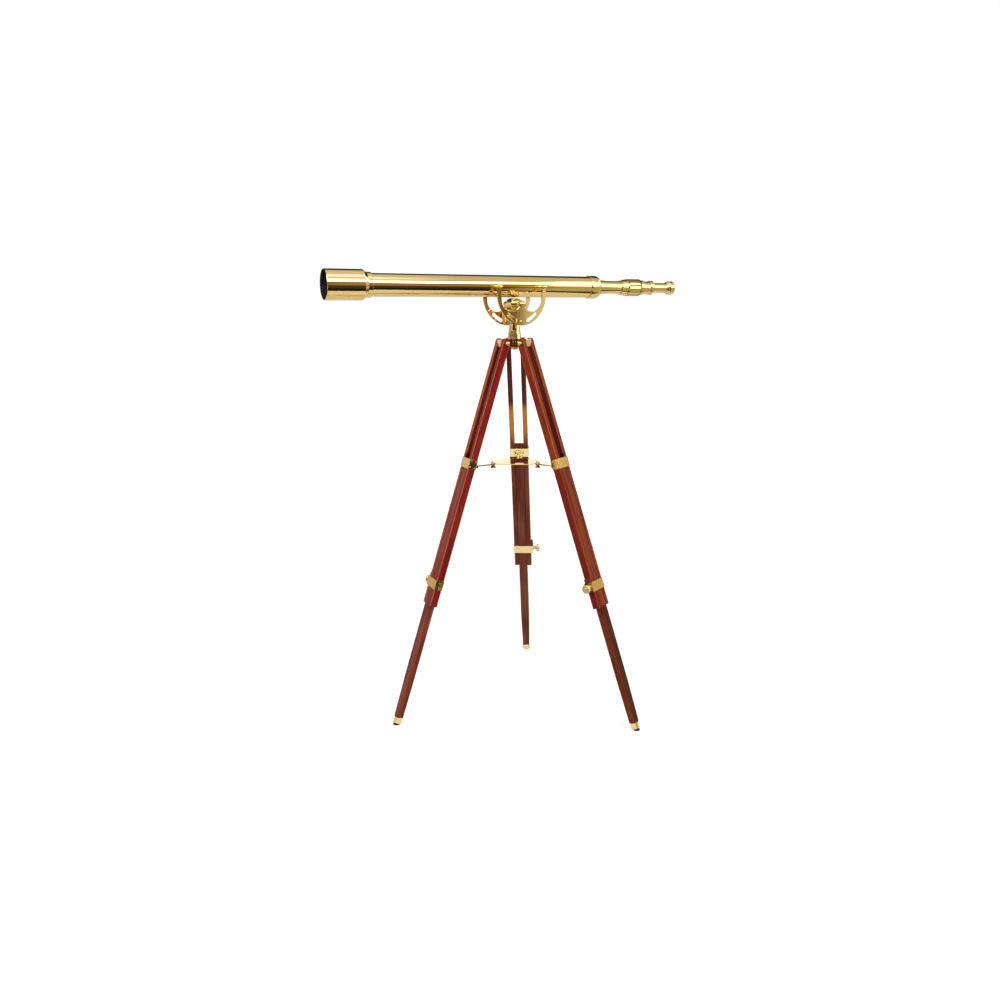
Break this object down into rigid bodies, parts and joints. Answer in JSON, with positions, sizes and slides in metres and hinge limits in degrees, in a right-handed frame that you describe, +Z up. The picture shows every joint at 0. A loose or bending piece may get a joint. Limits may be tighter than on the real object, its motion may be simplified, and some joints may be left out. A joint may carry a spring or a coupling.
{
  "type": "telescope on tripod",
  "caption": "Brass refracting telescope in a pierced cradle on a folding wooden tripod with sliding legs, clamp screws and a spreader tray.",
  "frame": {"origin": "on the floor under the azimuth axis, midway between the three feet", "axes": "+Z up along the azimuth axis, -X towards the objective, +X towards the eyepiece, one leg under the objective"},
  "size_m": [1.0752, 0.7086, 1.2786],
  "materials": {
    "mahogany": "gloss lacquer",
    "mirror_brass": "mirror polished",
    "satin_brass": "polished sheet",
    "turned_brass": "turned and polished",
    "black_rubber": "matte",
    "dark_pad": "dark lacquer",
    "black_paint": "matte black",
    "optical_glass": "polished"
  },
  "bodies": {
    "hub": {"hub_crown": "mirror_brass"},
    "azimuth_clamp": {"azimuth_clamp_screw": "turned_brass"},
    "fork": {"fork_post": "mirror_brass", "pintle_nut": "turned_brass"},
    "scope": {"cradle_plate_near": "mirror_brass", "cradle_plate_far": "mirror_brass", "altitude_axle": "turned_brass", "yoke_studs": "turned_brass", "dew_cap": "mirror_brass", "objective_cell": "mirror_brass", "objective_crown_lens": "optical_glass", "objective_flint_lens": "optical_glass", "main_tube": "mirror_brass", "tube_baffles": "black_paint", "rear_collar": "mirror_brass"},
    "draw": {"draw_tube": "mirror_brass", "erector_lenses": "optical_glass"},
    "ring": {"power_ring": "mirror_brass"},
    "eyepiece": {"eyepiece_barrel": "mirror_brass", "eyepiece_lenses": "optical_glass", "eyecup": "mirror_brass"},
    "tray": {"spreader_tray": "mirror_brass", "tray_bolts": "turned_brass", "tray_wing_nuts": "turned_brass"},
    "leg_1": {"leg_1_slat_left": "mahogany", "leg_1_slat_right": "mahogany", "leg_1_upper_band": "satin_brass", "leg_1_clamp_band": "satin_brass", "leg_1_pressure_pad": "dark_pad", "leg_1_hinge_bolt": "turned_brass", "leg_1_bracket": "satin_brass"},
    "leg_1_extension": {"leg_1_lower": "mahogany", "leg_1_ferrule": "satin_brass", "leg_1_rubber_tip": "black_rubber"},
    "leg_1_clamp": {"leg_1_clamp_screw": "turned_brass"},
    "leg_1_arm": {"leg_1_spreader_arm": "satin_brass"},
    "leg_2": {"leg_2_slat_left": "mahogany", "leg_2_slat_right": "mahogany", "leg_2_upper_band": "satin_brass", "leg_2_clamp_band": "satin_brass", "leg_2_pressure_pad": "dark_pad", "leg_2_hinge_bolt": "turned_brass", "leg_2_bracket": "satin_brass"},
    "leg_2_extension": {"leg_2_lower": "mahogany", "leg_2_ferrule": "satin_brass", "leg_2_rubber_tip": "black_rubber"},
    "leg_2_clamp": {"leg_2_clamp_screw": "turned_brass"},
    "leg_2_arm": {"leg_2_spreader_arm": "satin_brass"},
    "leg_3": {"leg_3_slat_left": "mahogany", "leg_3_slat_right": "mahogany", "leg_3_upper_band": "satin_brass", "leg_3_clamp_band": "satin_brass", "leg_3_pressure_pad": "dark_pad", "leg_3_hinge_bolt": "turned_brass", "leg_3_bracket": "satin_brass"},
    "leg_3_extension": {"leg_3_lower": "mahogany", "leg_3_ferrule": "satin_brass", "leg_3_rubber_tip": "black_rubber"},
    "leg_3_clamp": {"leg_3_clamp_screw": "turned_brass"},
    "leg_3_arm": {"leg_3_spreader_arm": "satin_brass"}
  },
  "joints": [
    {"name": "azimuth_turn", "type": "hinge", "parent": "hub", "child": "fork", "pos_m": [0, 0, 1.1], "axis": [0, 0, 1], "continuous": true},
    {"name": "altitude_tilt", "type": "hinge", "parent": "fork", "child": "scope", "pos_m": [0, 0, 1.1835], "axis": [0, 1, 0], "range_deg": [-60, 60]},
    {"name": "draw_focus", "type": "slide", "parent": "scope", "child": "draw", "axis": [0.9999, 0, -0.0129], "range_m": [-0.054, 0.018]},
    {"name": "power_ring_turn", "type": "hinge", "parent": "draw", "child": "ring", "pos_m": [0.3956, 0, 1.22709], "axis": [0.9999, 0, -0.0129], "range_deg": [0, 180]},
    {"name": "eyepiece_slide", "type": "slide", "parent": "draw", "child": "eyepiece", "axis": [0.9999, 0, -0.0129], "range_m": [0, 0.006]},
    {"name": "azimuth_clamp_turn", "type": "hinge", "parent": "hub", "child": "azimuth_clamp", "pos_m": [-0.015, -0.02598, 1.1], "axis": [-0.5, -0.866, 0], "range_deg": [0, 360]},
    {"name": "tray_drop", "type": "slide", "parent": "hub", "child": "tray", "axis": [0, 0, -1], "range_m": [0, 0.00882]},
    {"name": "leg_1_fold", "type": "hinge", "parent": "hub", "child": "leg_1", "pos_m": [-0.0376, 0, 1.077], "axis": [0, -1, 0], "range_deg": [0, 7]},
    {"name": "leg_1_extend", "type": "slide", "parent": "leg_1", "child": "leg_1_extension", "axis": [-0.317, 0, -0.9484], "range_m": [-0.28, 0.3]},
    {"name": "leg_1_clamp_turn", "type": "hinge", "parent": "leg_1", "child": "leg_1_clamp", "pos_m": [-0.26202, 0.045, 0.40551], "axis": [0, 1, 0], "range_deg": [0, 360]},
    {"name": "leg_1_arm_hinge", "type": "hinge", "parent": "leg_1", "child": "leg_1_arm", "pos_m": [-0.13046, 0, 0.73479], "axis": [0, -1, 0], "range_deg": [-7, 0]},
    {"name": "leg_2_fold", "type": "hinge", "parent": "hub", "child": "leg_2", "pos_m": [0.0188, -0.03256, 1.077], "axis": [0.866, 0.5, 0], "range_deg": [0, 7]},
    {"name": "leg_2_extend", "type": "slide", "parent": "leg_2", "child": "leg_2_extension", "axis": [0.1585, -0.2745, -0.9484], "range_m": [-0.28, 0.3]},
    {"name": "leg_2_clamp_turn", "type": "hinge", "parent": "leg_2", "child": "leg_2_clamp", "pos_m": [0.09204, -0.24941, 0.40551], "axis": [-0.866, -0.5, 0], "range_deg": [0, 360]},
    {"name": "leg_2_arm_hinge", "type": "hinge", "parent": "leg_2", "child": "leg_2_arm", "pos_m": [0.06523, -0.11298, 0.73479], "axis": [0.866, 0.5, 0], "range_deg": [-7, 0]},
    {"name": "leg_3_fold", "type": "hinge", "parent": "hub", "child": "leg_3", "pos_m": [0.0188, 0.03256, 1.077], "axis": [-0.866, 0.5, 0], "range_deg": [0, 7]},
    {"name": "leg_3_extend", "type": "slide", "parent": "leg_3", "child": "leg_3_extension", "axis": [0.1585, 0.2745, -0.9484], "range_m": [-0.28, 0.3]},
    {"name": "leg_3_clamp_turn", "type": "hinge", "parent": "leg_3", "child": "leg_3_clamp", "pos_m": [0.16998, 0.20441, 0.40551], "axis": [0.866, -0.5, 0], "range_deg": [0, 360]},
    {"name": "leg_3_arm_hinge", "type": "hinge", "parent": "leg_3", "child": "leg_3_arm", "pos_m": [0.06523, 0.11298, 0.73479], "axis": [-0.866, 0.5, 0], "range_deg": [-7, 0]}
  ],
  "couplings": [
    {"joint": "eyepiece_slide", "follows": "power_ring_turn", "m_per_rad": 0.0019},
    {"joint": "tray_drop", "follows": "leg_1_fold", "m_per_rad": 0.071751},
    {"joint": "leg_1_arm_hinge", "follows": "leg_1_fold", "ratio": -1},
    {"joint": "leg_2_arm_hinge", "follows": "leg_1_fold", "ratio": -1},
    {"joint": "leg_2_fold", "follows": "leg_1_fold", "ratio": 1},
    {"joint": "leg_3_arm_hinge", "follows": "leg_1_fold", "ratio": -1},
    {"joint": "leg_3_fold", "follows": "leg_1_fold", "ratio": 1}
  ]
}
